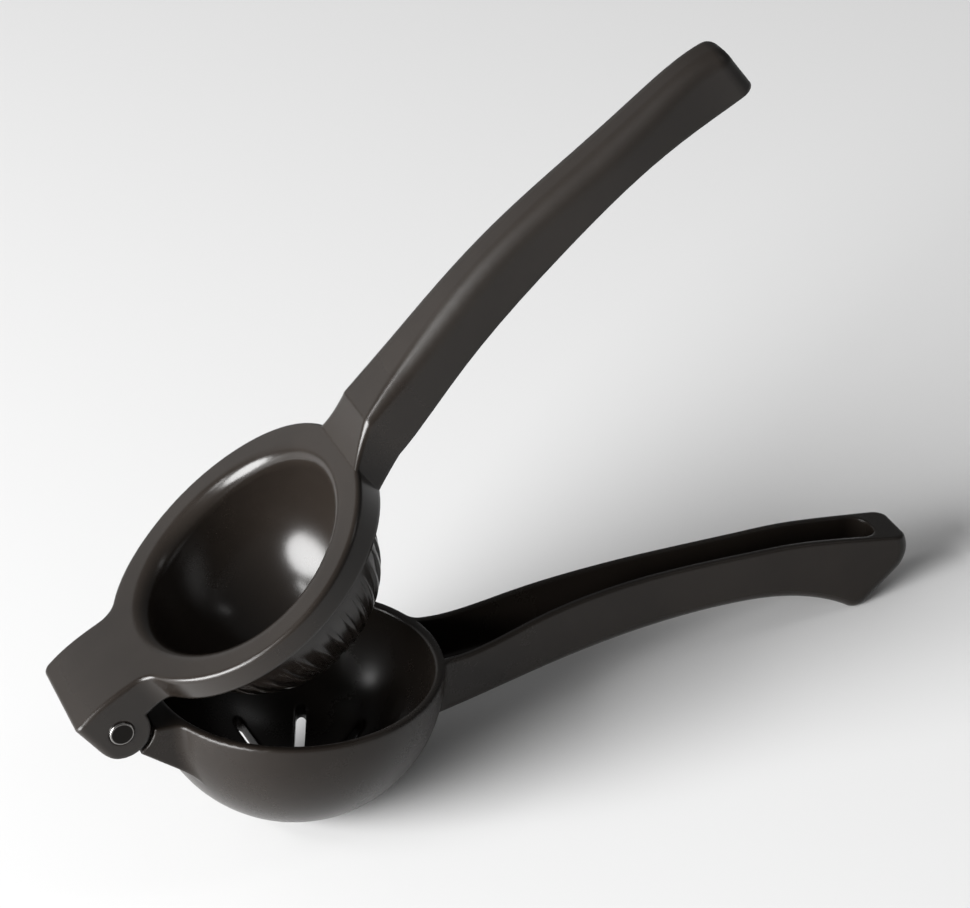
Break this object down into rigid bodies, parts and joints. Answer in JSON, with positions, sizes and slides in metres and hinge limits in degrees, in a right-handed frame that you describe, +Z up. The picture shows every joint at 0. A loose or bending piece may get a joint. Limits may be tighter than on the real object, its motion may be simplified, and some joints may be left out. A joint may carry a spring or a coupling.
{
  "type": "citrus squeezer",
  "caption": "Hand citrus squeezer: a round strainer cup on a trough handle, hinged to a hollow press dome on an arched channel handle, half open.",
  "frame": {"origin": "middle of the flat foot under the cup, in the plane of the table that foot and heel stand on", "axes": "+X along the handles from the hinge towards their ends, +Y along the hinge pin, +Z up from the table"},
  "size_m": [0.2174, 0.0728, 0.1628],
  "materials": {
    "lower_paint": "dark brown-black satin paint on cast aluminium",
    "upper_paint": "dark brown-black satin paint on cast aluminium",
    "pin_steel": "blackened steel, polished by wear at its edge"
  },
  "bodies": {
    "lower": {"lower_casting": "lower_paint"},
    "upper": {"upper_casting": "upper_paint", "hinge_pin": "pin_steel"}
  },
  "joints": [
    {"name": "hinge", "type": "hinge", "parent": "lower", "child": "upper", "pos_m": [-0.04617, 0, 0.04481], "axis": [0, -1, 0], "range_deg": [-38.4, 110]}
  ]
}
